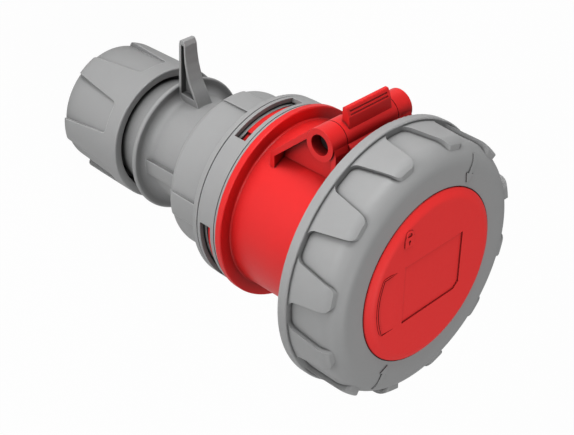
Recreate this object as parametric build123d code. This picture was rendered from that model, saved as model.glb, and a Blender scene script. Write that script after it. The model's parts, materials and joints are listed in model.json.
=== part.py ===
from build123d import *
import os
from math import asin, atan2, cos, degrees, radians, sin, sqrt

os.makedirs("parts", exist_ok=True)

# All sizes in mm. Z is the long axis: heights count up from the rear end of the gland nut.
# The hinge is on the +Y side and the lid faces +Z. Angles turn from +X towards +Y.

# Clearances
GAP = 0.3            # air between curved faces of different pieces
FACE_GAP = 0.2       # air between flat faces that turn past each other
PIN_PLAY = 0.05      # radial play of pins and screws in their holes
PRESS = 0.01         # radial play of the clip on the pin

# Bayonet ring
Z_RING = 154.5       # rear rim
BAND = 4.05          # width of the rim band
R_RIM = 52.6
R_PAD = 51.2
PAD_DRAFT = 0.2
R_GRIP = 49.5        # floor of the recesses between the pads
Z_ANNULUS = 177.7    # flat front face
R_SHOULDER = 7.4     # rounding from the recess floor to the front face
RING_WALL = 2.6
Z_PAD = 175.6        # front end of the pads
PAD_SHOULDER = 5.0   # rounding of the pads towards the front
PAD_STOP = 1.2       # from the front end up to where that rounding would end
PAD_COUNT = 12
PAD_HALF_REAR = 8.7  # degrees
PAD_HALF_FRONT = 5.1
PAD_CORNER = 2.0
RECESS_CORNER = 3.0
RING_LIP = 1.5       # thickness of the lip that the lid cap overlaps
ARROW_RISE = 0.45
ARROW_ANGLES = (60.5, -123.5)
ARROW_TAIL = 46.3    # radius where the arrow starts
ARROW_LONG = 10.4

# Ring tabs and housing lugs, the bayonet lock
TAB_ANGLES = (0, 180)
LOCK_TURN = -38      # degrees that the ring turns to lock
TAB_REACH = 8.7      # how far the tab stands in from the ring's wall
TAB_ROOT = 0.7       # how deep it is rooted in the wall
TAB_HALF = 7.5
Z_TAB = 155.2
TAB_HEIGHT = 4.8
TAB_RAMP = 1.3
R_LUG = 40.6
LUG_HALF = 7.0
LUG_HEIGHT = 4.0
LUG_OVER_TAB = 0.5

# Lid
Z_LID = 179.7
R_CAP = 34.1
CAP_SLOPE = 3.0      # width of the sloping edge of the cap
CAP_LIFT = 0.3       # how far that edge starts above the ring
CAP_FOOT = 2.5       # width of the cap's rim on the ring
CAP_HOLLOW = 28.5
CAP_THICK = 2.5
LID_BODY_RIM = 0.6   # lid body past its skirt
LID_BODY = 3.4       # thickness
GASKET_OVERHANG = 1.1  # gasket past the tube's wall, inside and out
GASKET = 3.4
GASKET_PLAY = 0.2
SKIRT_PLAY = 0.6     # between the gasket and the skirt round it
SKIRT = 1.8          # thickness
Z_SKIRT = 166.5
LABEL = (-15.5, -12.3, 16.0, 12.2)
LABEL_DEPTH = 0.5
PANEL_DEPTH = 0.55
PANEL_RIGHT = -19.5  # where the panel's floor runs out in the face
PANEL_TOP = 12.1
PANEL_BOTTOM = -11.9
R_PANEL = 28.6
LID_SCREW_CIRCLE = 23.0

# Hinge
HINGE_Y = 47.7
HINGE_Z = 143.2
R_BOSS = 6.2
BOSS_IN = 13.4
BOSS_OUT = 20.0
BOSS_END = 20.7      # the round bosses stand past the gussets
R_BOSS_HOLE = 3.95
PIN_SEAT = 15.2      # where the wide hole ends
R_PIN = 2.5
PIN_HEAD = 3.6
PIN_HEAD_LENGTH = 1.1
WEB_OUT = 14.9
RIM = 2.1
SPRING_MEAN = 3.75
SPRING_WIRE = 0.65
SPRING_TURNS = 5
SPRING_POCKET = 5.0
POCKET_HALF = 7.0
KEEL_DROP = 1.2      # how far the sloping plate lies under the gusset edges
KEEL_SHORT = 9.2     # how far that plate stops before the bosses, clear of the open lid's tab
PLATE = 2.0
ARM_INSIDE = 2.5     # air between the tube and the lid's arm
ARM_OUTSIDE = 2.5    # air between the lid's arm and the ring
THUMB_HALF = 10.8
THUMB_TOP = 59.3

# Front housing
R_TUBE = 34.5
TUBE_WALL = 2.8
SOCKET_STEP = 1.3    # the tube is wider behind the shoulder
SOCKET_WALL = 2.4
PLUG_GAP = 4.4       # between the tube and the carrier, for the plug's shroud
Z_SKIRT_END = 100.9
Z_MOUTH = 168.95
FLANGE_PROUD = 0.9   # flange past the lock ring
Z_FLANGE = 108.6
FLANGE = 3.0
Z_SEAT = 110.0       # shoulder that stops the carrier
KEYWAY = 7.0
KEYWAY_DEPTH = 1.6
BRACKET_REAR = 118.2
BRACKET_ROOT = 0.3   # how deep the bracket's rear end is rooted in the tube
BRACKET_FRONT = 150.2

# Lock ring
LOCK_WALL = 1.75
Z_LOCK = 97.75
Z_LOCK_END = 108.4
WINDOW_ANGLES = (97.9, 198.1, 277.9, 18.1)
WINDOW_HALF = 23.3   # degrees
WINDOW_Z = 99.5
WINDOW_TALL = 5.6
LUG_BEHIND = 3.4     # degrees from a window's middle to the middle of its lug
LUG_SPREAD = 19.5
LUG_RAMP = -4.0      # slope of the lug's rear edge
LOCK_LINE = 106.8    # fine groove round the ring
LINE_DEPTH = 0.35
LINE_WIDTH = 0.4
LOCK_LUG = 1.25      # height of the lugs on the tube

# Rear housing
Z_SHOULDER = 74.4
BODY_INSET = 1.1     # body inside the tube's radius
BODY_WALL = 3.9
BODY_EDGE = 3.7
Z_REAR_FLANGE = 95.0
REAR_FLANGE = 2.4
REAR_FLANGE_INSET = 0.1  # inside the lock ring's radius
STEP_PROUD = 0.9     # step past the tube's socket
Z_STEP = 100.6
Z_SPIGOT = 106.9
PANEL_RISE = 1.0
PANEL_HALF = 8.6
PANEL_START = 0.8    # from the shoulder to the panel's end
R_NECK = 22.5
R_NECK_BORE = 18.0
Z_NECK_FLANGE = 47.0
NECK_FLANGE = 2.1
R_NECK_FLANGE = 29.0
R_COLLAR = 23.6
Z_COLLAR = 34.0
Z_TAIL = 13.0
R_THREAD_ROOT = 23.0
R_CHAMBER = 19.6
Z_CHAMBER_TOP = 41.8
SEAL_WIRE = 0.8
Z_SEAL_RING = 103.5
SEAL_GROOVE = 2.0
FIN_ROOT = 3.85
FIN_TIP = 3.0
FIN_WEB = 2.0
FIN_SWEEP = 14.0     # eases the corners of the hollowed face

# Gland
Z_NUT_LIP = 36.7
R_NUT = 28.9
R_NUT_LIP = 29.1
R_NUT_MOUTH = 25.5
R_NUT_BORE = 24.7
NUT_EDGE = 3.5
NUT_END_WALL = 6.1
R_CABLE = 13.0
NUT_RECESSES = 6
NUT_HALF_REAR = 21.0
NUT_HALF_FRONT = 13.5
NUT_RECESS_TOP = 29.3
R_NUT_FLOOR_REAR = 26.4
R_NUT_FLOOR_FRONT = 28.1
R_SEAL_BORE = 9.5
Z_SEAL = 25.0
Z_BASKET = 9.2
BASKET_FINGERS = 10
WASHER = 2.6

# Contacts
Z_CARRIER = 107.2
Z_CARRIER_FACE = 167.4
POLE_CIRCLE = 17.5
PHASE_ANGLES = {"contact_l1": 198, "contact_l2": 126, "contact_l3": 54, "contact_n": -18}
EARTH_ANGLE = -90
PHASE_PIN = 3.0
EARTH_PIN = 4.0
SLEEVE_WALL = 1.45
COLLAR = 1.1
COLLAR_HEIGHT = 2.2
Z_SLEEVE = 162.0
Z_TERMINAL = 89.0
SLEEVE_DEPTH = 40.0
MOUTH_PLAY = 0.4     # round the pin in the carrier's face
SPLIT = 0.8
SPLIT_DEPTH = 22.0
WIRE_BORE = 2.6
WIRE_DEPTH = 14.0
GRUB = 2.0
GRUB_HEIGHTS = (93.5, 99.5)
COVER = 2.9
COVER_SCREW_CIRCLE = 7.5

R_TUBE_IN = R_TUBE - TUBE_WALL
R_CARRIER = R_TUBE_IN - PLUG_GAP
R_SKIRT_IN = R_TUBE_IN + SOCKET_STEP
R_SKIRT = R_SKIRT_IN + SOCKET_WALL
R_SPIGOT = R_SKIRT_IN - GAP
R_LOCK_LUG = R_SKIRT + LOCK_LUG
R_LOCK = R_LOCK_LUG + GAP + LOCK_WALL
R_FLANGE = R_LOCK + FLANGE_PROUD
R_REAR_FLANGE = R_LOCK - REAR_FLANGE_INSET
R_STEP = R_SKIRT + STEP_PROUD
R_BODY = R_TUBE - BODY_INSET
R_CAVITY = R_BODY - BODY_WALL
R_PANEL_OUT = R_BODY + PANEL_RISE
GASKET_IN = R_TUBE_IN - GASKET_OVERHANG
GASKET_OUT = R_TUBE + GASKET_OVERHANG
SKIRT_IN = GASKET_OUT + SKIRT_PLAY
SKIRT_OUT = SKIRT_IN + SKIRT
BRACKET_REAR_Y = R_TUBE - BRACKET_ROOT
R_RING_IN = R_GRIP - RING_WALL
R_LID_BODY = SKIRT_OUT + LID_BODY_RIM
Z_LID_BODY = Z_ANNULUS - RING_WALL - GAP
Z_LIP = Z_ANNULUS - RING_WALL + RING_LIP


def flat(points, rounds=()):
    """Face inside a closed outline. Each pair in rounds is a corner number and its radius."""
    face = make_face(Polyline(*points, close=True))
    for corner, radius in rounds:
        vertex = face.vertices().sort_by_distance(points[corner])[0]
        face = fillet(vertex, radius)
    return face


def turned(points, rounds=()):
    """Solid of revolution about Z from an outline in radius and height."""
    return revolve(Plane.XZ * flat(points, rounds), Axis.Z, 360)


def band(r0, r1, z0, z1):
    """Plain tube about Z."""
    return turned([(r0, z0), (r1, z0), (r1, z1), (r0, z1)])


def disc(radius, z0, z1, x=0.0, y=0.0):
    """Upright cylinder between two heights."""
    return Pos(x, y, (z0 + z1) / 2) * Cylinder(radius, z1 - z0)


def sector(r0, r1, z0, z1, middle, half):
    """Part of a tube, half degrees each way from the middle angle."""
    face = Rot(0, 0, middle - half) * (Plane.XZ * flat([(r0, z0), (r1, z0), (r1, z1), (r0, z1)]))
    return revolve(face, Axis.Z, 2 * half)


def radial_prism(points, rounds, r0, r1, angle):
    """Outline in sideways distance and height, pushed outwards from radius r0 to r1."""
    plane = Plane(origin=(r0, 0, 0), x_dir=(0, 1, 0), z_dir=(1, 0, 0))
    return Rot(0, 0, angle) * extrude(plane * flat(points, rounds), r1 - r0)


def side_plate(points, rounds, x0, x1):
    """Outline in Y and Z, pushed along X from x0 to x1."""
    return radial_prism(points, rounds, x0, x1, 0)


def cross_bar(radius, x0, x1, y=HINGE_Y, z=HINGE_Z):
    """Cylinder along X."""
    return Pos((x0 + x1) / 2, y, z) * Rot(0, 90, 0) * Cylinder(radius, x1 - x0)


def both_sides(shape):
    """Shape and its mirror image across the YZ plane."""
    return shape + mirror(shape, Plane.YZ)


def polar(radius, angle):
    return (radius * cos(radians(angle)), radius * sin(radians(angle)))


def ring_shell(grow=0.0):
    """Outside of the ring at the level of the recess floors."""
    z_band = Z_RING + BAND
    points = [(0, z_band - 1), (R_GRIP + grow, z_band - 1), (R_GRIP + grow, Z_ANNULUS + grow)]
    points.append((0, Z_ANNULUS + grow))
    return turned(points, [(2, R_SHOULDER + grow)])


def ring_pads():
    """Twelve tapered pads: a full collar with the tapered recesses taken out."""
    z_band = Z_RING + BAND
    collar = turned(
        [(38, z_band - 1), (R_PAD + PAD_DRAFT, z_band - 1), (R_PAD, Z_PAD + PAD_STOP)]
        + [(38, Z_PAD + PAD_STOP)],
        [(2, PAD_SHOULDER)],
    )
    collar -= disc(R_RIM, Z_PAD, Z_PAD + 2 * PAD_STOP)
    half_pitch = 180 / PAD_COUNT
    rear = R_PAD * sin(radians(half_pitch - PAD_HALF_REAR))
    front = R_PAD * sin(radians(half_pitch - PAD_HALF_FRONT))
    wide = front + PAD_CORNER + 1
    top = Z_PAD + 4
    outline = [(-rear, z_band), (rear, z_band), (front, Z_PAD), (wide, Z_PAD)]
    outline += [(wide, top), (-wide, top), (-wide, Z_PAD), (-front, Z_PAD)]
    rounds = [(0, RECESS_CORNER), (1, RECESS_CORNER), (2, PAD_CORNER), (7, PAD_CORNER)]
    recesses = [
        radial_prism(outline, rounds, 40, R_RIM + 4, 360 / PAD_COUNT * k) for k in range(PAD_COUNT)
    ]
    return collar - recesses


def arrow(angle):
    """Low arrow on the ring's front face that points at the lid."""
    tip = ARROW_TAIL - ARROW_LONG
    outline = [(ARROW_TAIL, -1), (ARROW_TAIL, 1), (tip + 3.4, 1), (tip + 3.4, 2.3), (tip, 0)]
    outline += [(tip + 3.4, -2.3), (tip + 3.4, -1)]
    solid = extrude(Pos(0, 0, Z_ANNULUS - 8) * flat(outline), 12)
    return (Rot(0, 0, angle) * solid) & ring_shell(ARROW_RISE)


def bayonet_tab(angle):
    """Tab inside the ring. Its ramp slides under a housing lug and draws the lid down."""
    top = Z_TAB + TAB_HEIGHT
    outline = [(-TAB_HALF, Z_TAB), (TAB_HALF, Z_TAB), (TAB_HALF, top), (-TAB_HALF / 3, top)]
    outline.append((-TAB_HALF, top - TAB_RAMP))
    r_in = R_RING_IN - TAB_REACH
    return radial_prism(outline, [(0, 0.6), (1, 0.6)], r_in, R_RING_IN + TAB_ROOT, angle)


def bayonet_ring():
    rim = turned(
        [(40, Z_RING), (R_RIM, Z_RING), (R_RIM, Z_RING + BAND), (40, Z_RING + BAND)],
        [(1, 0.8), (2, 0.6)],
    )
    bell = ring_shell() + ring_pads() + rim
    for angle in ARROW_ANGLES:
        bell += arrow(angle)
    z_in = Z_ANNULUS - RING_WALL
    bell -= turned(
        [(0, Z_RING - 1), (R_RING_IN, Z_RING - 1), (R_RING_IN, z_in), (0, z_in)],
        [(2, R_SHOULDER - RING_WALL)],
    )
    bell -= disc(R_CAP - CAP_FOOT, Z_RING, Z_LID)
    bell -= disc(R_CAP + GAP, Z_LIP, Z_LID)
    for angle in TAB_ANGLES:
        bell += bayonet_tab(angle)
    return bell


def padlock(x, y):
    """Plain padlock picture, body and shackle."""
    body = Pos(x, y - 1.7) * RectangleRounded(4.5, 4.0, 0.5)
    keyhole = Pos(x, y - 1.6) * (Circle(0.55) + Pos(0, -0.7) * Rectangle(0.5, 1.4))
    shackle = Pos(x, y + 0.9) * (Circle(1.9) - Circle(1.1))
    shackle += Pos(x - 1.5, y + 0.4) * Rectangle(0.8, 1.2)
    shackle += Pos(x + 1.5, y + 0.4) * Rectangle(0.8, 1.2)
    return (body - keyhole) + shackle


def lid_panel():
    """Recess beside the label: deepest at its arc, its floor runs out in the face at the other side."""
    wide = R_PANEL + PANEL_RIGHT
    tall = PANEL_TOP - PANEL_BOTTOM
    area = Pos((PANEL_RIGHT - R_PANEL) / 2, (PANEL_TOP + PANEL_BOTTOM) / 2) * Rectangle(wide, tall)
    shape = extrude(Pos(0, 0, Z_LID - 2 * PANEL_DEPTH) * (Circle(R_PANEL) & area), 4 * PANEL_DEPTH)
    tilt = -degrees(atan2(PANEL_DEPTH, wide))
    above = Pos(PANEL_RIGHT, 0, Z_LID) * Rot(0, tilt, 0) * Pos(0, 0, 5) * Box(4 * wide, 2 * tall, 10)
    return shape & above


def lid_cap():
    z_rim = Z_LIP + GAP
    r_neck = R_CAP - CAP_FOOT - GAP
    cap = turned(
        [(0, Z_LID_BODY), (r_neck, Z_LID_BODY), (r_neck, z_rim), (R_CAP, z_rim)]
        + [(R_CAP, Z_ANNULUS + CAP_LIFT), (R_CAP - CAP_SLOPE, Z_LID), (0, Z_LID)],
        [(4, 1.0), (5, 4.5)],
    )
    hollow = disc(CAP_HOLLOW, Z_LID_BODY - 1, Z_LID - CAP_THICK)
    for k in range(3):
        x, y = polar(LID_SCREW_CIRCLE, 90 + 120 * k)
        hollow -= disc(3.6, Z_LID_BODY - 1, Z_LID, x, y)
    cap -= hollow
    for k in range(3):
        x, y = polar(LID_SCREW_CIRCLE, 90 + 120 * k)
        cap -= disc(1.5 + PIN_PLAY, Z_LID_BODY - 1, Z_LID_BODY + 3.7, x, y)
    x0, y0, x1, y1 = LABEL
    label = flat([(x0, y0), (x1 - 2.7, y0), (x1, y0 + 2.2), (x1, y1), (x0, y1)])
    cap -= extrude(Pos(0, 0, Z_LID - LABEL_DEPTH) * label, 1)
    cap -= lid_panel()
    cap += extrude(Pos(0, 0, Z_LID - 0.1) * padlock(-14.4, 24.3), 0.45)
    return cap


def lid_arm():
    """Arm inside the ring from the lid disc down to the hinge knuckle."""
    half = BOSS_IN - GAP
    y_in = R_TUBE + ARM_INSIDE
    y_out = R_RING_IN - ARM_OUTSIDE
    z_low = Z_LID_BODY - LID_BODY
    outline = [(y_in, z_low + 0.6), (y_in + 1.4, Z_RING + 1.5), (y_in + 4.7, HINGE_Z + 2.8)]
    outline += [(HINGE_Y, HINGE_Z - 0.2), (HINGE_Y, HINGE_Z + R_BOSS - 0.2), (y_out, Z_RING - 0.9)]
    outline += [(y_out - 0.2, z_low - 2.4), (y_out - 1.6, z_low + 0.7), (y_out - 4, Z_LID_BODY - 0.4)]
    outline.append((y_in - 1, Z_LID_BODY - 0.4))
    return side_plate(outline, [], -half, half)


def thumb_tab():
    """Upright tab on the knuckle with two grip grooves. It also stops the open lid."""
    y_root = HINGE_Y + 2.3
    z_back = HINGE_Z + 1.1
    outline = [(y_root, z_back), (THUMB_TOP, z_back), (THUMB_TOP, z_back + 1.7)]
    outline += [(THUMB_TOP - 3.3, z_back + 3.1), (THUMB_TOP - 7.3, z_back + 3.5), (y_root, z_back + 3.5)]
    tab = side_plate(outline, [(1, 0.5), (2, 0.7)], -THUMB_HALF, THUMB_HALF)
    for down, out in ((1.3, 2.45), (2.5, 3.0)):
        groove = Rot(-25, 0, 0) * Box(2 * THUMB_HALF - 2.4, 0.55, 0.9)
        tab -= Pos(0, THUMB_TOP - down, z_back + out) * groove
    return tab


def lid_body():
    z_top = Z_LID_BODY
    z_low = z_top - LID_BODY
    body = turned([(0, z_low), (R_LID_BODY, z_low), (R_LID_BODY, z_top), (0, z_top)], [(2, 0.8)])
    body += band(SKIRT_IN, SKIRT_OUT, Z_SKIRT, z_low + 0.5)
    body += lid_arm()
    half = BOSS_IN - GAP
    body += cross_bar(R_BOSS, -half, half)
    body += thumb_tab()
    body -= band(GASKET_IN - GASKET_PLAY, GASKET_OUT + GASKET_PLAY, Z_SKIRT, z_low + 1.0)
    body -= cross_bar(R_PIN + PIN_PLAY, -half - 1, half + 1)
    body -= cross_bar(SPRING_POCKET, -POCKET_HALF, POCKET_HALF)
    wedge = [(HINGE_Y, HINGE_Z)]
    for angle in (175, 220, 265, 310, 356):
        y, z = polar(11, angle)
        wedge.append((HINGE_Y + y, HINGE_Z + z))
    body -= side_plate(wedge, [], -POCKET_HALF, POCKET_HALF)
    for k in range(3):
        x, y = polar(LID_SCREW_CIRCLE, 90 + 120 * k)
        body -= disc(1.5 + PIN_PLAY, z_low - 1, z_top + 1, x, y)
        body -= disc(3.2, z_low - 1, z_low + 1.9, x, y)
    return body


def lid_gasket():
    top = Z_LID_BODY - LID_BODY + 1.0
    outline = [(GASKET_IN, top - GASKET), (GASKET_OUT, top - GASKET), (GASKET_OUT, top)]
    outline.append((GASKET_IN, top))
    return turned(outline, [(0, 0.5), (1, 0.5)])


def cross_slot(radius, z, x, y):
    """Cross recess for a screwdriver, cut upwards into a head that faces down."""
    wide = Pos(x, y, z) * Box(radius * 1.3, radius * 0.3, 1.6)
    return wide + Pos(x, y, z) * Box(radius * 0.3, radius * 1.3, 1.6)


def lid_screws():
    z_head = Z_LID_BODY - LID_BODY + 1.9
    screws = []
    for k in range(3):
        x, y = polar(LID_SCREW_CIRCLE, 90 + 120 * k)
        screw = disc(1.5, z_head, Z_LID_BODY + 3.2, x, y) + disc(2.9, z_head - 1.7, z_head, x, y)
        screws.append(screw - cross_slot(2.9, z_head - 1.7, x, y))
    return Compound(children=screws)


def tangent_line():
    """Foot, direction and inward normal of the sloping edge of the hinge bracket."""
    dy = HINGE_Y - BRACKET_REAR_Y
    dz = HINGE_Z - BRACKET_REAR
    reach = sqrt(dy * dy + dz * dz)
    slope = atan2(dz, dy) - asin(R_BOSS / reach)
    length = sqrt(reach * reach - R_BOSS * R_BOSS)
    return (cos(slope), sin(slope)), (-sin(slope), cos(slope)), length


def on_slope(along, inward):
    """Point at a distance along the sloping edge and inwards from it."""
    (uy, uz), (ny, nz), _ = tangent_line()
    return (BRACKET_REAR_Y + along * uy + inward * ny, BRACKET_REAR + along * uz + inward * nz)


def hinge_bracket():
    """Two gussets with hinge bosses, a thinned web in each, and the sloping plate between them."""
    length = tangent_line()[2]
    outline = [(24, BRACKET_FRONT), (45.4, BRACKET_FRONT), (HINGE_Y, HINGE_Z + R_BOSS)]
    outline += [(HINGE_Y, HINGE_Z), on_slope(length, 0), on_slope(0, 0), (24, BRACKET_REAR)]
    gusset = side_plate(outline, [], BOSS_IN, BOSS_OUT)
    pocket = [(20, BRACKET_FRONT - RIM), (46.4, BRACKET_FRONT - RIM), (HINGE_Y, HINGE_Z)]
    pocket += [on_slope(length, RIM), on_slope(1.0, RIM), (20, BRACKET_REAR + RIM)]
    recess = side_plate(pocket, [], WEB_OUT, BOSS_OUT + 1) - cross_bar(R_BOSS, WEB_OUT, BOSS_OUT + 1)
    gusset = gusset - recess + cross_bar(R_BOSS, BOSS_IN, BOSS_END)
    keel = [on_slope(-3, KEEL_DROP), on_slope(length - KEEL_SHORT, KEEL_DROP)]
    keel += [on_slope(length - KEEL_SHORT, KEEL_DROP + PLATE), on_slope(-3, KEEL_DROP + PLATE)]
    bracket = both_sides(gusset) + side_plate(keel, [], -BOSS_IN - 0.5, BOSS_IN + 0.5)
    return bracket


def lock_lugs():
    """Four lugs with a ramped rear edge, seen through the windows of the lock ring."""
    lugs = []
    for window in WINDOW_ANGLES:
        middle = window - LUG_BEHIND
        lug = sector(R_SKIRT - 0.5, R_LOCK_LUG, Z_SKIRT_END + 0.1, Z_FLANGE + 0.2, middle, LUG_SPREAD)
        cut = Pos(R_LOCK_LUG, 0, Z_SKIRT_END - 3.7) * Rot(LUG_RAMP, 0, 0) * Box(12, 40, 8)
        lugs.append(lug - Rot(0, 0, middle) * cut)
    return lugs


def bayonet_lug(angle):
    """Lug on the tube with a ramp underneath for the ring tab."""
    low = Z_TAB + TAB_HEIGHT + LUG_OVER_TAB
    outline = [(-LUG_HALF, low), (LUG_HALF / 3, low), (LUG_HALF, low + TAB_RAMP)]
    outline += [(LUG_HALF, low + LUG_HEIGHT), (-LUG_HALF, low + LUG_HEIGHT)]
    return radial_prism(outline, [(3, 0.6), (4, 0.6)], R_TUBE - 2, R_LUG, angle)


def front_housing():
    housing = turned([(0, Z_SKIRT_END), (R_SKIRT, Z_SKIRT_END), (R_SKIRT, Z_FLANGE + 0.5)]
                     + [(0, Z_FLANGE + 0.5)])
    housing += turned([(0, Z_FLANGE), (R_FLANGE, Z_FLANGE), (R_FLANGE, Z_FLANGE + FLANGE)]
                      + [(R_TUBE, Z_FLANGE + FLANGE), (R_TUBE, Z_MOUTH), (0, Z_MOUTH)],
                      [(1, 0.4), (2, 0.5), (3, 0.7), (4, 0.8)])
    housing += hinge_bracket()
    for lug in lock_lugs():
        housing += lug
    for angle in TAB_ANGLES:
        housing += bayonet_lug(angle + LOCK_TURN)
    housing -= disc(R_TUBE_IN, Z_SKIRT_END - 1, Z_MOUTH + 1)
    housing -= disc(R_SKIRT_IN, Z_SKIRT_END - 1, Z_SEAT)
    key = Pos(0, -R_TUBE_IN - KEYWAY_DEPTH / 2 + 1, (Z_SEAT + 2 + Z_MOUTH) / 2)
    housing -= key * Box(KEYWAY, KEYWAY_DEPTH + 2, Z_MOUTH - Z_SEAT - 1.5)
    for side in (-1, 1):
        near = min(side * (BOSS_IN - 1), side * (BOSS_OUT + 1))
        far = max(side * (BOSS_IN - 1), side * (BOSS_OUT + 1))
        housing -= cross_bar(R_PIN + PIN_PLAY, near, far)
        near = min(side * PIN_SEAT, side * (BOSS_OUT + 1))
        far = max(side * PIN_SEAT, side * (BOSS_OUT + 1))
        housing -= cross_bar(R_BOSS_HOLE, near, far)
    return housing


def hinge_pin():
    seat = PIN_SEAT + 0.1
    pin = cross_bar(R_PIN, -seat - 0.5, seat + PIN_HEAD_LENGTH)
    return pin + cross_bar(PIN_HEAD, -seat - PIN_HEAD_LENGTH, -seat)


def hinge_pin_clip():
    """Split ring on the free end of the pin."""
    seat = PIN_SEAT + 0.1
    clip = cross_bar(PIN_HEAD, seat, seat + 0.8) - cross_bar(R_PIN + PRESS, seat - 1, seat + 2)
    return clip - Pos(seat, HINGE_Y - 3.2, HINGE_Z) * Box(4, 2.6, 1.0)


def hinge_spring():
    """Torsion spring round the pin, with a straight leg that rests against the tube."""
    pitch = 2 * SPRING_WIRE + 0.35
    height = SPRING_TURNS * pitch
    path = Helix(pitch=pitch, height=height, radius=SPRING_MEAN)
    wire = sweep(Plane(origin=path @ 0, z_dir=path % 0) * Circle(SPRING_WIRE), path=path, is_frenet=True)
    coil = Pos(height / 2, HINGE_Y, HINGE_Z) * Rot(0, -90, 0) * wire
    z_leg = HINGE_Z - SPRING_MEAN
    y_end = R_TUBE + GAP
    leg = Pos(-height / 2, (HINGE_Y + y_end) / 2, z_leg) * Rot(90, 0, 0)
    return coil + leg * Cylinder(SPRING_WIRE, HINGE_Y - y_end)


def lock_ring():
    ring = turned(
        [(R_LOCK - LOCK_WALL, Z_LOCK), (R_LOCK, Z_LOCK), (R_LOCK, Z_LOCK_END)]
        + [(R_LOCK - LOCK_WALL, Z_LOCK_END)],
        [(1, 0.4), (2, 0.4)],
    )
    ring -= band(R_LOCK - LINE_DEPTH, R_LOCK + 1, LOCK_LINE, LOCK_LINE + LINE_WIDTH)
    for middle in WINDOW_ANGLES:
        ring -= sector(R_LOCK - 5, R_LOCK + 1, WINDOW_Z, WINDOW_Z + WINDOW_TALL, middle, WINDOW_HALF)
    return ring


def thumb_fin():
    """Fin on the neck with a hollowed front face and deep side pockets."""
    front = [(47.0, 53.1), (43.0, 53.2), (39.0, 53.6), (35.0, 54.5), (31.0, 55.8), (27.5, 57.7)]
    front += [(23.3, 59.8), (20.0, 61.5)]
    outline = [(20.0, 48.6), (47.4, 49.6), (49.0, 50.2), (49.1, 52.2)] + front
    rounds = [(2, 0.7), (3, 0.7)] + [(corner, FIN_SWEEP) for corner in range(5, 11)]
    fin = side_plate(outline, rounds, -FIN_ROOT, FIN_ROOT)
    taper = flat([(-FIN_ROOT, 18), (FIN_ROOT, 18), (FIN_TIP, 50), (-FIN_TIP, 50)])
    fin = fin & extrude(Pos(0, 0, 45) * taper, 20)
    pocket = [(47.0, 50.7), (25.6, 50.1), (25.2, 57.9), (30.5, 55.1), (34.5, 53.7), (40.0, 52.6)]
    pocket.append((47.0, 52.3))
    return fin - both_sides(side_plate(pocket, [], FIN_WEB / 2, FIN_ROOT + 1))


def raised_panel(angle):
    """Panel on the body, rounded over the shoulder like the body itself."""
    z0 = Z_SHOULDER + PANEL_START
    points = [(R_BODY - 4, z0), (R_PANEL_OUT, z0), (R_PANEL_OUT, Z_REAR_FLANGE + 0.5)]
    points.append((R_BODY - 4, Z_REAR_FLANGE + 0.5))
    face = Rot(0, 0, angle - PANEL_HALF) * (Plane.XZ * flat(points, [(1, BODY_EDGE)]))
    return revolve(face, Axis.Z, 2 * PANEL_HALF)


def rear_housing():
    body = turned(
        [(0, Z_SHOULDER), (R_BODY, Z_SHOULDER), (R_BODY, Z_REAR_FLANGE)]
        + [(R_REAR_FLANGE, Z_REAR_FLANGE), (R_REAR_FLANGE, Z_REAR_FLANGE + REAR_FLANGE)]
        + [(R_STEP, Z_REAR_FLANGE + REAR_FLANGE), (R_STEP, Z_STEP), (R_SPIGOT, Z_STEP)]
        + [(R_SPIGOT, Z_SPIGOT), (0, Z_SPIGOT)],
        [(1, BODY_EDGE), (2, 0.8), (3, 0.5), (4, 0.4), (8, 0.4)],
    )
    z_flange = Z_NECK_FLANGE + NECK_FLANGE
    body += turned(
        [(0, Z_TAIL), (R_THREAD_ROOT, Z_TAIL), (R_THREAD_ROOT, Z_COLLAR), (R_COLLAR, Z_COLLAR)]
        + [(R_COLLAR, Z_NECK_FLANGE), (R_NECK_FLANGE, Z_NECK_FLANGE), (R_NECK_FLANGE, z_flange)]
        + [(R_NECK, z_flange), (R_NECK, Z_SHOULDER + 1), (0, Z_SHOULDER + 1)],
        [(1, 0.8), (3, 0.3), (5, 0.9), (6, 0.9), (7, 4.0)],
    )
    for k in range(4):
        body += raised_panel(90 * k)
    for angle in (0, 180):
        body += sector(R_NECK - 1.5, R_NECK + 1.5, z_flange - 0.5, Z_SHOULDER + 1, angle, 7.5)
    body += thumb_fin()
    body -= turned([(0, Z_SHOULDER + 2.8), (R_CAVITY, Z_SHOULDER + 2.8), (R_CAVITY, Z_SPIGOT + 1)]
                   + [(0, Z_SPIGOT + 1)], [(1, 2.0)])
    body -= disc(R_NECK_BORE, Z_CHAMBER_TOP - 1, Z_SHOULDER + 4)
    body -= disc(R_CHAMBER, Z_TAIL - 1, Z_CHAMBER_TOP)
    groove = R_SKIRT_IN - 2 * PIN_PLAY - 2 * SEAL_WIRE
    body -= band(groove, R_SPIGOT + 1, Z_SEAL_RING - SEAL_GROOVE / 2, Z_SEAL_RING + SEAL_GROOVE / 2)
    return body


def housing_seal():
    centre = R_SKIRT_IN - PIN_PLAY - SEAL_WIRE
    return Pos(0, 0, Z_SEAL_RING) * Torus(centre, SEAL_WIRE)


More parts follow.
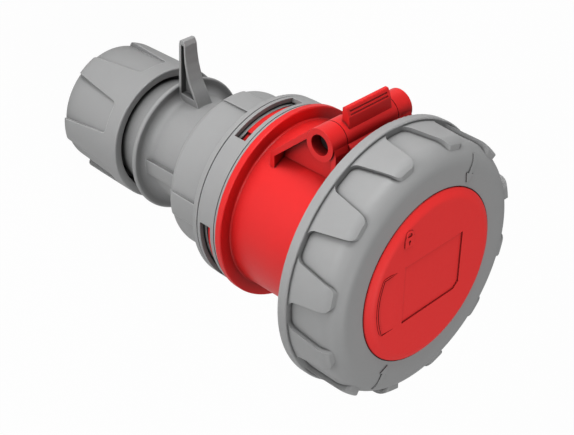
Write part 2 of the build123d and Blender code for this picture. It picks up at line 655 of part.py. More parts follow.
def gland_nut():
    nut = turned(
        [(R_CABLE, 0), (R_NUT, 0), (R_NUT_LIP, Z_NUT_LIP), (R_NUT_MOUTH, Z_NUT_LIP - 0.6)]
        + [(R_NUT_MOUTH, 31.0), (R_NUT_BORE, 30.2), (R_NUT_BORE, NUT_END_WALL)]
        + [(R_CABLE, NUT_END_WALL)],
        [(1, NUT_EDGE), (2, 0.5)],
    )
    rear = R_NUT * sin(radians(NUT_HALF_REAR))
    front = R_NUT * sin(radians(NUT_HALF_FRONT))
    slope = (rear - front) / NUT_RECESS_TOP
    outline = [(-rear - slope, -1), (rear + slope, -1), (front, NUT_RECESS_TOP), (-front, NUT_RECESS_TOP)]
    floor = turned([(0, -2), (R_NUT_FLOOR_REAR, -2), (R_NUT_FLOOR_REAR, 0)]
                   + [(R_NUT_FLOOR_FRONT, NUT_RECESS_TOP), (R_NUT_FLOOR_FRONT, 34), (0, 34)])
    for k in range(NUT_RECESSES):
        angle = 90 + 360 / NUT_RECESSES * k
        nut -= radial_prism(outline, [(2, 2.5), (3, 2.5)], 22, R_NUT + 3, angle) - floor
    return nut


def gland_washer():
    low = NUT_END_WALL + 0.1
    bore = R_CABLE + 0.8
    return turned([(bore, low), (R_THREAD_ROOT, low), (R_THREAD_ROOT, low + WASHER)]
                  + [(bore, low + WASHER)], [(1, 0.5), (2, 0.5)])


def gland_basket():
    """Split clamping sleeve between the washer and the seal."""
    top = Z_SEAL - 0.1
    r_out = R_CHAMBER - GAP
    basket = turned([(15.0, Z_BASKET), (r_out, Z_BASKET), (r_out, top), (R_CABLE + 1.5, top)])
    for k in range(BASKET_FINGERS):
        slot = Pos(r_out - 3, 0, Z_BASKET + 5) * Box(12, 1.2, 12)
        basket -= Rot(0, 0, 360 / BASKET_FINGERS * k) * slot
    return basket


def gland_seal():
    top = Z_CHAMBER_TOP - 0.1
    r_out = R_CHAMBER - GAP
    return turned([(R_SEAL_BORE + 1.5, Z_SEAL), (r_out, Z_SEAL), (r_out, top), (R_SEAL_BORE, top)]
                  + [(R_SEAL_BORE, Z_SEAL + 4)], [(1, 0.8)])


def poles():
    """Name, angle and pin radius of each contact."""
    rows = [(name, angle, PHASE_PIN) for name, angle in PHASE_ANGLES.items()]
    rows.append(("contact_pe", EARTH_ANGLE, EARTH_PIN))
    return rows


def pole_segment(angle, pin):
    """Fifth of the carrier round one contact, with a stepped hole for its sleeve."""
    half = 180 / len(poles())
    side = flat([(0, Z_CARRIER), (R_CARRIER, Z_CARRIER), (R_CARRIER, Z_CARRIER_FACE), (0, Z_CARRIER_FACE)],
                [(2, 0.8)])
    segment = revolve(Rot(0, 0, angle - half) * (Plane.XZ * side), Axis.Z, 2 * half)
    x, y = polar(POLE_CIRCLE, angle)
    r_out = pin + SLEEVE_WALL
    segment -= disc(r_out + GAP, Z_CARRIER - 1, Z_SLEEVE + 0.2, x, y)
    segment -= disc(r_out + COLLAR + 0.1, Z_CARRIER - 1, Z_CARRIER + COLLAR_HEIGHT + 0.1, x, y)
    segment -= disc(pin + MOUTH_PLAY, Z_SLEEVE, Z_CARRIER_FACE + 1, x, y)
    segment -= Pos(x, y, Z_CARRIER_FACE - 0.5) * Cone(pin + MOUTH_PLAY, pin + MOUTH_PLAY + 1, 1.0)
    for side in (-1, 1):
        segment -= disc(1.5 + PIN_PLAY, Z_CARRIER - 1, Z_CARRIER + 12, side * COVER_SCREW_CIRCLE, 0)
    return segment


def contact_carrier():
    """Insert of five pole segments, face to face, that stand in the cover's rim."""
    return Compound(children=[pole_segment(angle, pin) for _, angle, pin in poles()])


def contact(angle, pin):
    """Brass sleeve with a split front and a wire terminal at the rear."""
    r_out = pin + SLEEVE_WALL
    sleeve = turned([(0, Z_TERMINAL), (r_out, Z_TERMINAL), (r_out, Z_CARRIER), (r_out + COLLAR, Z_CARRIER)]
                    + [(r_out + COLLAR, Z_CARRIER + COLLAR_HEIGHT), (r_out, Z_CARRIER + COLLAR_HEIGHT)]
                    + [(r_out, Z_SLEEVE), (0, Z_SLEEVE)], [(1, 0.4), (6, 0.5)])
    sleeve -= disc(pin + PIN_PLAY, Z_SLEEVE - SLEEVE_DEPTH, Z_SLEEVE + 1)
    sleeve -= disc(WIRE_BORE, Z_TERMINAL - 1, Z_TERMINAL + WIRE_DEPTH)
    split = Pos(0, 0, Z_SLEEVE - SPLIT_DEPTH / 2 + 1)
    sleeve -= split * Box(SPLIT, 4 * r_out, SPLIT_DEPTH + 2)
    for z in GRUB_HEIGHTS:
        sleeve -= Pos(r_out, 0, z) * Rot(0, 90, 0) * Cylinder(GRUB + PIN_PLAY, 2 * r_out - 1)
    return Rot(0, 0, angle) * (Pos(POLE_CIRCLE, 0, 0) * sleeve)


def terminal_screws():
    screws = []
    for _, angle, pin in poles():
        start = POLE_CIRCLE + 1.2
        end = POLE_CIRCLE + pin + SLEEVE_WALL + 1.2
        for z in GRUB_HEIGHTS:
            screw = Pos((start + end) / 2, 0, z) * Rot(0, 90, 0) * Cylinder(GRUB, end - start)
            screw -= Pos(end, 0, z) * Box(1.6, 5, 0.6)
            screws.append(Rot(0, 0, angle) * screw)
    return Compound(children=screws)


def carrier_cover():
    """Round plate under the carrier. Its rim is held between the two housings."""
    top = Z_CARRIER - 0.05
    rim = Z_SPIGOT + 0.15
    r_low = R_CAVITY - 2 * GAP
    cover = turned([(0, top - COVER), (r_low, top - COVER), (r_low, rim), (R_SPIGOT, rim)]
                   + [(R_SPIGOT, Z_SEAT - GAP), (R_CARRIER + GAP, Z_SEAT - GAP)]
                   + [(R_CARRIER + GAP, top), (0, top)], [(1, 0.5)])
    for _, angle, pin in poles():
        x, y = polar(POLE_CIRCLE, angle)
        cover -= disc(pin + SLEEVE_WALL + GAP, top - COVER - 1, top + 1, x, y)
    for side in (-1, 1):
        cover -= disc(1.7, top - COVER - 1, top + 1, side * COVER_SCREW_CIRCLE, 0)
    return cover


def carrier_screws():
    z_head = Z_CARRIER - 0.05 - COVER
    screws = []
    for side in (-1, 1):
        x = side * COVER_SCREW_CIRCLE
        screw = disc(1.5, z_head - 0.1, Z_CARRIER + 11, x, 0) + disc(2.8, z_head - 2.1, z_head, x, 0)
        screws.append(screw - cross_slot(2.8, z_head - 2.1, x, 0))
    return Compound(children=screws)


nodes = {
    "gland_nut": gland_nut(),
    "gland_washer": gland_washer(),
    "gland_basket": gland_basket(),
    "gland_seal": gland_seal(),
    "rear_housing": rear_housing(),
    "housing_seal": housing_seal(),
    "lock_ring": lock_ring(),
    "front_housing": front_housing(),
    "contact_carrier": contact_carrier(),
    "terminal_screws": terminal_screws(),
    "carrier_cover": carrier_cover(),
    "carrier_screws": carrier_screws(),
    "lid_body": lid_body(),
    "lid_cap": lid_cap(),
    "lid_screws": lid_screws(),
    "lid_gasket": lid_gasket(),
    "bayonet_ring": bayonet_ring(),
    "hinge_pin": hinge_pin(),
    "hinge_pin_clip": hinge_pin_clip(),
    "hinge_spring": hinge_spring(),
}
for name, angle, pin in poles():
    nodes[name] = contact(angle, pin)

for name, shape in nodes.items():
    export_step(shape, f"parts/{name}.step")
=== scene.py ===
import json
import math
import bpy
from mathutils import Matrix, Vector


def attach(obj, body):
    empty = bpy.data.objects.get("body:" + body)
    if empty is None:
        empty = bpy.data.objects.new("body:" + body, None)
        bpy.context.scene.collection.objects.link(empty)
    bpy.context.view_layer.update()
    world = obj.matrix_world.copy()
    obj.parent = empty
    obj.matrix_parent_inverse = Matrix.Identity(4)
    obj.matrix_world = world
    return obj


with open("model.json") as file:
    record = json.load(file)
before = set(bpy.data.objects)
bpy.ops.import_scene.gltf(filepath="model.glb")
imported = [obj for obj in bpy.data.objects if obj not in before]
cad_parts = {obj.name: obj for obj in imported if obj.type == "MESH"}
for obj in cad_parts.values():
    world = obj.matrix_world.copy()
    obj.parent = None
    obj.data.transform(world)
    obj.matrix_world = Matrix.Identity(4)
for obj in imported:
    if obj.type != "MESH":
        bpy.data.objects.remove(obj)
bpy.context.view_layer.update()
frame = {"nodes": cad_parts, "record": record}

# The photograph: its width in pixels, and the camera fitted to it. Its up is the hinge side (+Y), so
# the model, which stands on its gland nut, lies on its side in the picture.
IMAGE_WIDTH = 574
FOCAL_PIXELS = 1250.0
AZIMUTH = -45.0        # degrees, from +Z towards +X
ELEVATION = 34.03      # degrees, towards +Y
ROLL = 0.156           # degrees
EYE = (-0.28814, 0.26589, 0.39500)  # metres
SENSOR = 36.0          # millimetres
NEAR_CLIP = 0.01       # metres

# Soft boxes: direction from the socket as right, up and near in the picture, and power in watts
SOFT_BOXES = {
    "soft_box_above_lens": ((0.0, 1.0, 1.0), 7.3),
    "soft_box_left_of_lens": ((-1.0, 0.1, 1.0), 9.0),
    "soft_box_low_right": ((1.0, -1.0, 0.5), 3.3),
    "soft_box_low": ((0.0, -1.0, 0.3), 1.0),
}
LAMP_AIM = (0.0, 0.0, 0.1)  # metres, the middle of the socket
LAMP_DISTANCE = 1.1    # metres
LAMP_SIZE = 0.45       # metres
ROOM_LIGHT = 0.28      # strength of the white room's light on the socket
PLAIN_WHITE = 1.0      # strength at which room and floor are white to the camera

# Floor, metres
FLOOR_HALF = 4.0
FLOOR_DROP = 0.0002    # gap between the floor and the gland nut
FLOOR_GLOW = 0.97      # share of plain white in what the camera sees, the rest keeps the shadow

# Finishes, linear colours
GREY = (0.335, 0.337, 0.338, 1.0)
RED = (0.76, 0.0150, 0.0153, 1.0)
CAP_RED = (0.93, 0.034, 0.033, 1.0)
INSERT_BLACK = (0.028, 0.028, 0.03, 1.0)
RUBBER = (0.02, 0.02, 0.021, 1.0)
BRASS = (0.70, 0.46, 0.17, 1.0)
STEEL = (0.60, 0.60, 0.61, 1.0)
PIN_STEEL = (0.10, 0.10, 0.105, 1.0)
WHITE = (1.0, 1.0, 1.0, 1.0)
FLOOR_COLOUR = (0.86, 0.86, 0.86, 1.0)
UNSET_COLOUR = (0.5, 0.5, 0.5, 1.0)  # what a skin shows until it gets its own colour

# Moulded plastic and rubber: pattern scales per metre, and how strongly each pattern shows
PATTERN_MIDDLE = 0.5   # value round which every noise pattern swings
MOTTLE_SWING = 2.0     # makes Mottle the most by which the colour moves
CLOUD_SCALE = 42.0     # broad mottling
CLOUD_SHARE = 0.65
FLOW_SCALE = 260.0     # finer mottling, which also breaks up the painted highlight along the edges
FLOW_SHARE = 0.35
SPECK_SCALE = 900.0    # specks in the gloss
SPECK_SPREAD = 0.16    # how far the specks move the roughness
GRAIN_SCALE = 2200.0   # spark-eroded grain
RUBBER_GRAIN_SCALE = 1400.0
GRAIN_DEPTH = 0.00003  # metres

# Rounded edges and a painted highlight along them: radii in metres, and the cosine between the
# rounded and the flat surface at which the painted highlight starts and at which it is full
SHARP_EDGE = 0.0002    # lid cap, bayonet ring, red mouldings, black inserts and seals
SOFT_EDGE = 0.0005     # lock ring and threads
WIDE_EDGE = 0.0007     # gland nut and rear housing
HIGHLIGHT_STARTS = 0.995
HIGHLIGHT_FULL = 0.86
HIGHLIGHT_EVEN = 0.4         # the part of the painted edge highlight that doesn't follow the flow pattern
EDGE_SAMPLES = 6

# Painted shade in fine grooves and in hollows: reach in metres, and how open to the room a place is
# where the painted shade starts and where it is full
CREVICE_REACH = 0.001
PANEL_REACH = 0.0018   # painted shade in the grooves of the lid cap
HOLLOW_REACH = 0.010
NECK_REACH = 0.030     # painted shade on the rear housing's neck between nut and shoulder
SHADE_LEVELS = {"Crevice": (0.94, 0.55), "Hollow": (0.85, 0.25)}
SHADE_SAMPLES = 8

# Metal: pattern scales per metre
LINE_STRETCH = (60.0, 60.0, 5200.0)  # turning lines, close together along the socket's axis
LINE_SPREAD = 0.25     # how far the lines move the roughness
TARNISH_SCALE = 180.0
CLEAN_METAL = 1.05     # brightness where there is no tarnish

# Pieces whose finish isn't the plain one of their material slot
OWN_FINISH = {
    "rear_housing": "housing_plastic",
    "gland_nut": "nut_plastic",
    "lid_cap": "cap_plastic",
    "bayonet_ring": "ring_plastic",
    "hinge_pin": "hinge_steel",
    "hinge_pin_clip": "hinge_steel",
}

# Right-handed threads of tail and nut, metres. The nut moves one pitch for each turn.
THREAD_PITCH = 0.004
THREAD_ROOT_HALF = 0.0011        # half width of the ridge at its root
THREAD_SHOULDER_HALF = 0.000875  # half width where the flank turns into the crest
THREAD_CREST_HALF = 0.00035      # half width on the crest
THREAD_SHOULDER = 0.75           # share of the ridge's height at which the flank ends
THREAD_TIP = 0.02                # share of the height that is left at the ends of the ridge
THREAD_STEPS = 72                # sections for each turn
THREAD_RUN_OUT = 14              # sections over which the ridge grows at its ends
TAIL_ROOT = 0.023
TAIL_CREST = 0.0244
TAIL_LOW = 0.0145
TAIL_HIGH = 0.0328
NUT_BORE = 0.0247
NUT_CREST = 0.0233
NUT_LOW = 0.0155
NUT_HIGH = 0.029
SUNK = 0.00005                   # how far threads and rib reach into the piece they stand on

# Grooved rib along the panel of the lid cap, metres and degrees
CAP_FACE = 0.1797
RIB_RADIUS = 0.0288
RIB_FIRST = 204.5
RIB_LAST = 155.2
RIB_END = (-0.0193, 0.0121)
RIB_ARC_STEPS = 48
RIB_TOP_STEPS = 8
RIB_HALF = 0.0006
RIB_GROOVE_HALF = 0.0003
RIB_GROOVE_FLOOR = 0.00001       # height of the groove's floor above the cap
RIB_HEIGHT = 0.00022
RIB_RUN_OUT = 5                  # points over which the rib grows at its ends
RIB_TIP = 0.3                    # how many points into that growth its two ends are

FLOAT = "NodeSocketFloat"
COLOUR = "NodeSocketColor"
VECTOR = "NodeSocketVector"


def new_group(name, inputs, outputs):
    """Empty shader node group with named sockets."""
    group = bpy.data.node_groups.new(name, "ShaderNodeTree")
    for label, kind, value in inputs:
        socket = group.interface.new_socket(label, in_out="INPUT", socket_type=kind)
        socket.default_value = value
    for label, kind in outputs:
        group.interface.new_socket(label, in_out="OUTPUT", socket_type=kind)
    group.nodes.new("NodeGroupInput").name = "in"
    group.nodes.new("NodeGroupOutput").name = "out"
    return group


def add_node(tree, kind, **settings):
    """New node with its settings."""
    node = tree.nodes.new(kind)
    for key, value in settings.items():
        setattr(node, key, value)
    return node


def feed(tree, socket, value):
    """Gives a socket a plain number, or a link from another socket."""
    if isinstance(value, (int, float)):
        socket.default_value = value
    else:
        tree.links.new(value, socket)


def noise(tree, vector, scale, detail, roughness=0.5):
    """Noise pattern of a scale per metre."""
    node = add_node(tree, "ShaderNodeTexNoise")
    feed(tree, node.inputs["Scale"], scale)
    feed(tree, node.inputs["Detail"], detail)
    feed(tree, node.inputs["Roughness"], roughness)
    feed(tree, node.inputs["Vector"], vector)
    return node.outputs["Fac"]


def math_node(tree, operation, a, b):
    """Sum, product or other result of two values."""
    node = add_node(tree, "ShaderNodeMath", operation=operation)
    feed(tree, node.inputs[0], a)
    feed(tree, node.inputs[1], b)
    return node.outputs[0]


def remap(tree, value, low, high, to_low, to_high):
    """Value moved from the range between low and high to the one between to_low and to_high."""
    node = add_node(tree, "ShaderNodeMapRange")
    feed(tree, node.inputs["Value"], value)
    feed(tree, node.inputs["From Min"], low)
    feed(tree, node.inputs["From Max"], high)
    feed(tree, node.inputs["To Min"], to_low)
    feed(tree, node.inputs["To Max"], to_high)
    return node.outputs["Result"]


def brightened(tree, colour, brightness):
    """Colour times its brightness."""
    node = add_node(tree, "ShaderNodeVectorMath", operation="SCALE")
    feed(tree, node.inputs[0], colour)
    feed(tree, node.inputs["Scale"], brightness)
    return node.outputs["Vector"]


def varied(tree, middle, pattern, spread):
    """Middle value that a pattern moves up and down."""
    offset = math_node(tree, "SUBTRACT", pattern, PATTERN_MIDDLE)
    return math_node(tree, "ADD", middle, math_node(tree, "MULTIPLY", offset, spread))


def moulded_skin_group():
    """Moulded plastic: faint mottling, fine grain, rounded edges, painted edge highlight, painted
    shade in grooves and hollows.
    """
    tree = new_group(
        "moulded_skin",
        inputs=(
            ("Base Color", COLOUR, UNSET_COLOUR),
            ("Mottle", FLOAT, 0.05),
            ("Roughness", FLOAT, 0.4),
            ("Grain Scale", FLOAT, GRAIN_SCALE),
            # Edge Highlight is a painted highlight along edges; Crevice and Hollow are painted shade
            # in grooves and hollows
            ("Edge Highlight", FLOAT, 0.1),
            ("Crevice", FLOAT, 0.6),
            ("Hollow", FLOAT, 0.55),
            ("Edge Round", FLOAT, SHARP_EDGE),
            ("Crevice Reach", FLOAT, CREVICE_REACH),
            ("Hollow Reach", FLOAT, HOLLOW_REACH),
        ),
        outputs=(("Color", COLOUR), ("Roughness", FLOAT), ("Height", FLOAT), ("Normal", VECTOR)),
    )
    inside = tree.nodes["in"].outputs
    out = tree.nodes["out"].inputs
    place = add_node(tree, "ShaderNodeTexCoord").outputs["Object"]

    cloud = noise(tree, place, CLOUD_SCALE, detail=4.0)
    flow = noise(tree, place, FLOW_SCALE, detail=3.0, roughness=0.6)
    broad = math_node(tree, "MULTIPLY", cloud, CLOUD_SHARE)
    fine = math_node(tree, "MULTIPLY", flow, FLOW_SHARE)
    offset = math_node(tree, "SUBTRACT", math_node(tree, "ADD", broad, fine), PATTERN_MIDDLE)
    swing = math_node(tree, "MULTIPLY", offset, inside["Mottle"])
    mottled = math_node(tree, "ADD", math_node(tree, "MULTIPLY", swing, MOTTLE_SWING), 1.0)

    rounded = add_node(tree, "ShaderNodeBevel", samples=EDGE_SAMPLES)
    feed(tree, rounded.inputs["Radius"], inside["Edge Round"])
    flat = add_node(tree, "ShaderNodeNewGeometry").outputs["Normal"]
    lean = add_node(tree, "ShaderNodeVectorMath", operation="DOT_PRODUCT")
    feed(tree, lean.inputs[0], rounded.outputs["Normal"])
    feed(tree, lean.inputs[1], flat)
    # Painted highlight: the colour is lightened where the rounded normal leans from the flat one,
    # broken up by the fine mottling
    edge = remap(tree, lean.outputs["Value"], HIGHLIGHT_STARTS, HIGHLIGHT_FULL, 0.0, inside["Edge Highlight"])
    edge_highlight = math_node(tree, "MULTIPLY", edge, math_node(tree, "ADD", flow, HIGHLIGHT_EVEN))
    bright = math_node(tree, "ADD", mottled, edge_highlight)

    # Painted shade: the colour darkens where little of the room is open within each reach, in fine
    # grooves and in hollows
    for kind, (starts, full) in SHADE_LEVELS.items():
        corner = add_node(tree, "ShaderNodeAmbientOcclusion", samples=SHADE_SAMPLES)
        feed(tree, corner.inputs["Distance"], inside[kind + " Reach"])
        painted_shade = remap(tree, corner.outputs["AO"], starts, full, 0.0, inside[kind])
        bright = math_node(tree, "MULTIPLY", bright, math_node(tree, "SUBTRACT", 1.0, painted_shade))
    feed(tree, out["Color"], brightened(tree, inside["Base Color"], bright))

    speck = noise(tree, place, SPECK_SCALE, detail=2.0)
    feed(tree, out["Roughness"], varied(tree, inside["Roughness"], speck, SPECK_SPREAD))
    feed(tree, out["Height"], noise(tree, place, inside["Grain Scale"], detail=2.0))
    feed(tree, out["Normal"], rounded.outputs["Normal"])
    return tree


def metal_skin_group():
    """Turned or drawn metal: fine lines round the socket's axis and slight tarnish."""
    tree = new_group(
        "metal_skin",
        inputs=(
            ("Base Color", COLOUR, UNSET_COLOUR),
            ("Tarnish", FLOAT, 0.2),
            ("Roughness", FLOAT, 0.3),
        ),
        outputs=(("Color", COLOUR), ("Roughness", FLOAT), ("Height", FLOAT)),
    )
    inside = tree.nodes["in"].outputs
    out = tree.nodes["out"].inputs
    place = add_node(tree, "ShaderNodeTexCoord").outputs["Object"]
    stretch = add_node(tree, "ShaderNodeMapping")
    stretch.inputs["Scale"].default_value = LINE_STRETCH
    feed(tree, stretch.inputs["Vector"], place)
    lines = noise(tree, stretch.outputs["Vector"], 1.0, detail=3.0)
    cloud = noise(tree, place, TARNISH_SCALE, detail=4.0)
    dull = math_node(tree, "MULTIPLY", cloud, inside["Tarnish"])
    bright = math_node(tree, "SUBTRACT", CLEAN_METAL, dull)
    feed(tree, out["Color"], brightened(tree, inside["Base Color"], bright))
    feed(tree, out["Roughness"], varied(tree, inside["Roughness"], lines, LINE_SPREAD))
    feed(tree, out["Height"], lines)
    return tree


def finish_material(name, skin_group, values, bump, specular, metallic):
    """Principled material whose colour, gloss and relief come from a skin with these values."""
    material = bpy.data.materials.new(name)
    material.use_nodes = True
    tree = material.node_tree
    shader = tree.nodes["Principled BSDF"]
    skin = add_node(tree, "ShaderNodeGroup", node_tree=skin_group)
    for label, value in values.items():
        skin.inputs[label].default_value = value
    shader.inputs["Specular IOR Level"].default_value = specular
    shader.inputs["Metallic"].default_value = metallic
    relief = add_node(tree, "ShaderNodeBump")
    relief.inputs["Strength"].default_value = bump
    relief.inputs["Distance"].default_value = GRAIN_DEPTH
    feed(tree, relief.inputs["Height"], skin.outputs["Height"])
    if "Normal" in skin.outputs:
        feed(tree, relief.inputs["Normal"], skin.outputs["Normal"])
    feed(tree, shader.inputs["Base Color"], skin.outputs["Color"])
    feed(tree, shader.inputs["Roughness"], skin.outputs["Roughness"])
    feed(tree, shader.inputs["Normal"], relief.outputs["Normal"])
    return material


def make_finishes():
    """Materials by material slot, and those of the pieces with a finish of their own."""
    plastic = moulded_skin_group()
    metal = metal_skin_group()
    # Edge Highlight is the strength of the painted highlight along edges, Crevice and Hollow that of
    # the painted shade in grooves and in hollows
    grey = {"Base Color": GREY, "Mottle": 0.05, "Roughness": 0.46}
    plain_grey = {**grey, "Edge Highlight": 0.3, "Crevice": 0.35, "Edge Round": SOFT_EDGE}
    housing_grey = {**grey, "Edge Highlight": 0.7, "Crevice": 0.05, "Edge Round": WIDE_EDGE,
                    "Hollow": 0.85, "Hollow Reach": NECK_REACH}
    nut_grey = {**grey, "Edge Highlight": 0.7, "Crevice": 0.15, "Edge Round": WIDE_EDGE, "Hollow": 0.2}
    ring_grey = {**grey, "Edge Highlight": 0.3, "Crevice": 0.5}
    red = {"Base Color": RED, "Mottle": 0.06, "Roughness": 0.4, "Edge Highlight": 0.1, "Hollow": 0.75}
    cap_red = {"Base Color": CAP_RED, "Mottle": 0.05, "Roughness": 0.5, "Edge Highlight": 0.25,
               "Crevice": 0.65, "Crevice Reach": PANEL_REACH}
    black = {"Base Color": INSERT_BLACK, "Mottle": 0.1, "Roughness": 0.5, "Edge Highlight": 0.5}
    rubber = {"Base Color": RUBBER, "Mottle": 0.25, "Roughness": 0.72, "Edge Highlight": 0.3,
              "Grain Scale": RUBBER_GRAIN_SCALE}
    brass = {"Base Color": BRASS, "Tarnish": 0.25, "Roughness": 0.3}
    zinc_plate = {"Base Color": STEEL, "Tarnish": 0.3, "Roughness": 0.34}
    black_steel = {"Base Color": PIN_STEEL, "Tarnish": 0.4, "Roughness": 0.5}
    # Name of the material, its skin and the skin's values, strength of the relief, specular level
    # and metallic
    rows = {
        "grey_plastic": ("grey_moulding", plastic, plain_grey, 0.25, 0.35, 0.0),
        "housing_plastic": ("grey_housing_moulding", plastic, housing_grey, 0.25, 0.35, 0.0),
        "nut_plastic": ("grey_nut_moulding", plastic, nut_grey, 0.25, 0.35, 0.0),
        "ring_plastic": ("grey_ring_moulding", plastic, ring_grey, 0.25, 0.35, 0.0),
        "red_plastic": ("red_moulding", plastic, red, 0.2, 0.35, 0.0),
        "cap_plastic": ("red_cap_moulding", plastic, cap_red, 0.2, 0.18, 0.0),
        "dark_plastic": ("black_insert", plastic, black, 0.3, 0.5, 0.0),
        "seal_rubber": ("rubber_seal", plastic, rubber, 0.5, 0.3, 0.0),
        "contact_brass": ("turned_brass", metal, brass, 0.4, 0.5, 1.0),
        "plain_steel": ("zinc_plated_steel", metal, zinc_plate, 0.4, 0.5, 1.0),
        "hinge_steel": ("blackened_steel", metal, black_steel, 0.4, 0.5, 1.0),
    }
    return {finish: finish_material(*row) for finish, row in rows.items()}


def dress_nodes(finishes):
    """Gives every solid of the part its own finish, or else that of its material slot."""
    for row in frame["record"]["subparts"]:
        finish = OWN_FINISH.get(row["node"], row["material_slot"])
        materials = frame["nodes"][row["node"]].data.materials
        materials.clear()
        materials.append(finishes[finish])


def put_in_scene(name, data):
    """New object of this mesh, lamp or camera."""
    thing = bpy.data.objects.new(name, data)
    bpy.context.scene.collection.objects.link(thing)
    return thing


def picture_axes():
    """Right, up and near of the photograph in the model's frame."""
    azimuth = math.radians(AZIMUTH)
    elevation = math.radians(ELEVATION)
    roll = math.radians(ROLL)
    flat = math.cos(elevation)
    near = Vector((math.sin(azimuth) * flat, math.sin(elevation), math.cos(azimuth) * flat))
    level = Vector((math.cos(azimuth), 0.0, -math.sin(azimuth)))
    raised = near.cross(level)
    right = math.cos(roll) * level + math.sin(roll) * raised
    up = -math.sin(roll) * level + math.cos(roll) * raised
    return right, up, near


def place_camera():
    """Camera at the photograph's place, angle and lens."""
    data = bpy.data.cameras.new("camera")
    data.sensor_width = SENSOR
    data.sensor_fit = "HORIZONTAL"
    data.lens = SENSOR * FOCAL_PIXELS / IMAGE_WIDTH
    data.clip_start = NEAR_CLIP
    camera = put_in_scene("camera", data)
    turn = Matrix(picture_axes()).transposed().to_4x4()
    camera.matrix_world = Matrix.Translation(Vector(EYE)) @ turn
    bpy.context.scene.camera = camera


def soft_box(name, towards, power):
    """Square lamp in this direction from the middle of the socket, which it faces."""
    data = bpy.data.lights.new(name, "AREA")
    data.shape = "SQUARE"
    data.size = LAMP_SIZE
    data.energy = power
    lamp = put_in_scene(name, data)
    direction = sum((axis * share for axis, share in zip(picture_axes(), towards)), Vector())
    direction.normalize()
    lamp.location = Vector(LAMP_AIM) + direction * LAMP_DISTANCE
    lamp.rotation_euler = direction.to_track_quat("Z", "Y").to_euler()


def light_studio():
    """Soft boxes and a white room, whose light on the socket is dimmer than the camera sees it."""
    for name, (towards, power) in SOFT_BOXES.items():
        soft_box(name, towards, power)
    world = bpy.data.worlds.new("studio")
    bpy.context.scene.world = world
    world.use_nodes = True
    tree = world.node_tree
    background = tree.nodes["Background"]
    background.inputs["Color"].default_value = WHITE
    path = add_node(tree, "ShaderNodeLightPath").outputs
    seen = math_node(tree, "MAXIMUM", path["Is Camera Ray"], path["Is Transmission Ray"])
    strength = remap(tree, seen, 0.0, 1.0, ROOM_LIGHT, PLAIN_WHITE)
    feed(tree, background.inputs["Strength"], strength)


def lay_floor():
    """Pale floor under the gland nut, white to the camera but for a soft shadow."""
    mesh = bpy.data.meshes.new("floor")
    sides = ((-1, -1), (1, -1), (1, 1), (-1, 1))
    corners = [(FLOOR_HALF * x, FLOOR_HALF * y, 0) for x, y in sides]
    mesh.from_pydata(corners, [], [(0, 1, 2, 3)])
    floor = put_in_scene("floor", mesh)
    floor.location.z = -FLOOR_DROP
    material = bpy.data.materials.new("pale_floor")
    material.use_nodes = True
    tree = material.node_tree
    tree.nodes.clear()
    matt = add_node(tree, "ShaderNodeBsdfDiffuse")
    matt.inputs["Color"].default_value = FLOOR_COLOUR
    white = add_node(tree, "ShaderNodeEmission")
    white.inputs["Color"].default_value = WHITE
    white.inputs["Strength"].default_value = PLAIN_WHITE
    path = add_node(tree, "ShaderNodeLightPath").outputs
    share = math_node(tree, "MULTIPLY", path["Is Camera Ray"], FLOOR_GLOW)
    mix = add_node(tree, "ShaderNodeMixShader")
    feed(tree, mix.inputs["Fac"], share)
    feed(tree, mix.inputs[1], matt.outputs[0])
    feed(tree, mix.inputs[2], white.outputs[0])
    feed(tree, add_node(tree, "ShaderNodeOutputMaterial").inputs["Surface"], mix.outputs[0])
    mesh.materials.append(material)


def swept_strip(name, sections, finish):
    """Closed mesh over a row of cross-sections, each a closed loop of as many points."""
    count = len(sections[0])
    points = [point for section in sections for point in section]
    faces = []
    for row in range(len(sections) - 1):
        near = row * count
        far = near + count
        for k in range(count):
            following = (k + 1) % count
            faces.append((near + k, near + following, far + following, far + k))
    faces.append(tuple(reversed(range(count))))
    faces.append(tuple(range(len(points) - count, len(points))))
    mesh = bpy.data.meshes.new(name)
    mesh.from_pydata(points, [], faces)
    mesh.materials.append(finish)
    return put_in_scene(name, mesh)


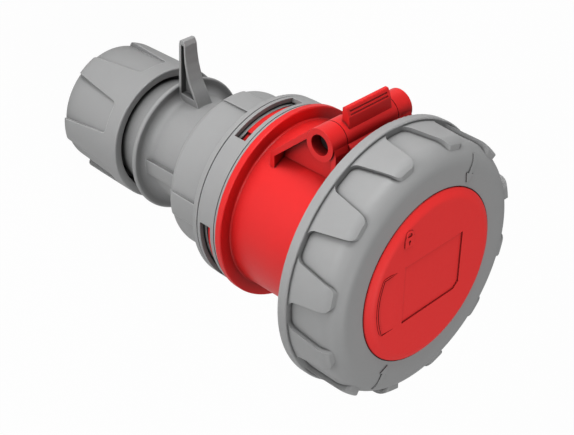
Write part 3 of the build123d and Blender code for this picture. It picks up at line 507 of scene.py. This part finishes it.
def thread_ridge(name, body, root, crest, low, high, start, finish):
    """Ridge that winds up from low to high between two radii and runs out at both ends."""
    steps = int((high - low) / THREAD_PITCH * THREAD_STEPS)
    sunk = -SUNK if crest > root else SUNK
    sections = []
    for step in range(steps + 1):
        turn = step / THREAD_STEPS
        angle = start + 2 * math.pi * turn
        height = low + THREAD_PITCH * turn
        grown = min(1.0, step / THREAD_RUN_OUT, (steps - step) / THREAD_RUN_OUT)
        reach = (crest - root) * max(grown, THREAD_TIP)
        profile = [
            (sunk, -THREAD_ROOT_HALF),
            (THREAD_SHOULDER * reach, -THREAD_SHOULDER_HALF),
            (reach, -THREAD_CREST_HALF),
        ]
        profile += [(out, -up) for out, up in reversed(profile)]
        section = []
        for out, up in profile:
            radius = root + out
            section.append((radius * math.cos(angle), radius * math.sin(angle), height + up))
        sections.append(section)
    ridge = swept_strip(name, sections, finish)
    ridge.data.shade_smooth()
    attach(ridge, body)


def cut_threads(finish):
    """Thread of the tail, and the nut's own half a turn further, in the space between its turns."""
    thread_ridge("tail_thread", "housing", TAIL_ROOT, TAIL_CREST, TAIL_LOW, TAIL_HIGH, 0.0, finish)
    nut_start = 2 * math.pi * ((NUT_LOW - TAIL_LOW) / THREAD_PITCH - 0.5)
    thread_ridge("nut_thread", "nut", NUT_BORE, NUT_CREST, NUT_LOW, NUT_HIGH, nut_start, finish)


def panel_rib(finish):
    """Thin grooved rib on the lid cap, along the arc and the top of the panel by the label recess."""
    line = []
    for step in range(RIB_ARC_STEPS + 1):
        angle = math.radians(RIB_FIRST + (RIB_LAST - RIB_FIRST) * step / RIB_ARC_STEPS)
        line.append(Vector((RIB_RADIUS * math.cos(angle), RIB_RADIUS * math.sin(angle))))
    corner = line[-1]
    for step in range(1, RIB_TOP_STEPS + 1):
        line.append(corner + (Vector(RIB_END) - corner) * step / RIB_TOP_STEPS)
    last = len(line) - 1
    sections = []
    for k, point in enumerate(line):
        along = (line[min(k + 1, last)] - line[max(k - 1, 0)]).normalized()
        side = Vector((-along.y, along.x))
        grown = min(1.0, (k + RIB_TIP) / RIB_RUN_OUT, (last - k + RIB_TIP) / RIB_RUN_OUT)
        half = RIB_HALF * grown
        groove = RIB_GROOVE_HALF * grown
        top = RIB_HEIGHT * grown
        profile = [(-half, -SUNK), (-half, top), (-groove, top), (-groove, RIB_GROOVE_FLOOR)]
        profile += [(-out, up) for out, up in reversed(profile)]
        section = []
        for out, up in profile:
            foot = point + side * out
            section.append((foot.x, foot.y, CAP_FACE + up))
        sections.append(section)
    rib = swept_strip("panel_rib", sections, finish)
    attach(rib, "lid")


finishes = make_finishes()
dress_nodes(finishes)
cut_threads(finishes["grey_plastic"])
panel_rib(finishes["cap_plastic"])
place_camera()
light_studio()
lay_floor()
bpy.context.scene.view_settings.view_transform = "Standard"
